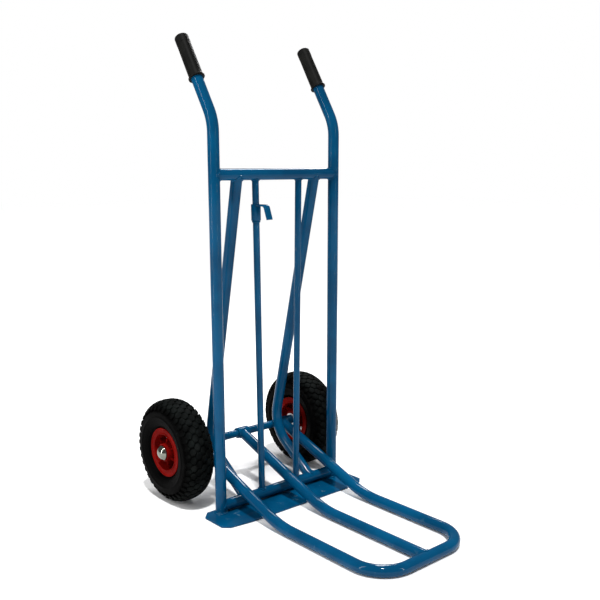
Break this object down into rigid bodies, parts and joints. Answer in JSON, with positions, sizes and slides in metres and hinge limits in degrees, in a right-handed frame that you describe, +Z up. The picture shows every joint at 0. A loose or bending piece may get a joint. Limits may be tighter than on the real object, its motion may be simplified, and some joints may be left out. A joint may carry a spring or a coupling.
{
  "type": "hand truck",
  "caption": "Two-wheeled tubular steel hand truck with a folding toe frame, a fixed footplate, angled handles with grips and pneumatic tyres.",
  "frame": {"origin": "on the floor, under the midpoint between the two stiles' centre lines, on the footplate's underside", "axes": "+Z up, -Y towards the load and the toe frame, +X to the right seen from the load side"},
  "size_m": [0.52, 0.7939, 1.1222],
  "materials": {
    "blue_paint": "glossy blue enamel over welded steel tube",
    "grip_rubber": "smooth black vinyl rubber with a soft sheen",
    "tyre_rubber": "black block-tread tyre rubber",
    "inner_tube_rubber": "black butyl rubber",
    "red_rim": "moulded red plastic",
    "cap_chrome": "bright plated push-on cap",
    "zinc_steel": "zinc-plated steel"
  },
  "bodies": {
    "frame": {"left_stile": "blue_paint", "right_stile": "blue_paint", "top_crossbar": "blue_paint", "bottom_crossbar": "blue_paint", "left_rod": "blue_paint", "right_rod": "blue_paint", "left_strut": "blue_paint", "right_strut": "blue_paint", "footplate": "blue_paint", "axle": "blue_paint", "left_spacer": "blue_paint", "right_spacer": "blue_paint", "left_inner_washer": "zinc_steel", "right_inner_washer": "zinc_steel", "left_outer_washer": "zinc_steel", "right_outer_washer": "zinc_steel", "left_axle_cap": "cap_chrome", "right_axle_cap": "cap_chrome", "left_grip": "grip_rubber", "right_grip": "grip_rubber", "latch_stop_ring": "blue_paint"},
    "left_wheel": {"left_tyre": "tyre_rubber", "left_inner_tube": "inner_tube_rubber", "left_valve": "inner_tube_rubber", "left_rim_outer": "red_rim", "left_rim_inner": "red_rim", "left_rim_bolts": "zinc_steel", "left_rim_nuts": "zinc_steel", "left_wheel_bearings": "zinc_steel"},
    "right_wheel": {"right_tyre": "tyre_rubber", "right_inner_tube": "inner_tube_rubber", "right_valve": "inner_tube_rubber", "right_rim_outer": "red_rim", "right_rim_inner": "red_rim", "right_rim_bolts": "zinc_steel", "right_rim_nuts": "zinc_steel", "right_wheel_bearings": "zinc_steel"},
    "toe_frame": {"toe_loop": "blue_paint", "toe_middle_tube": "blue_paint", "left_toe_sleeve": "blue_paint", "middle_toe_sleeve": "blue_paint", "right_toe_sleeve": "blue_paint"},
    "latch": {"latch_collar": "blue_paint", "latch_hook": "blue_paint"}
  },
  "joints": [
    {"name": "toe_fold", "type": "hinge", "parent": "frame", "child": "toe_frame", "pos_m": [0, 0.1555, 0.13], "axis": [-1, 0, 0], "range_deg": [0, 84.2]},
    {"name": "left_wheel_spin", "type": "hinge", "parent": "frame", "child": "left_wheel", "pos_m": [-0.21, 0.1555, 0.13], "axis": [-1, 0, 0], "continuous": true},
    {"name": "right_wheel_spin", "type": "hinge", "parent": "frame", "child": "right_wheel", "pos_m": [0.21, 0.1555, 0.13], "axis": [-1, 0, 0], "continuous": true},
    {"name": "latch_slide", "type": "slide", "parent": "frame", "child": "latch", "axis": [-0.0129, 0, 0.9999], "range_m": [0, 0.05]}
  ]
}
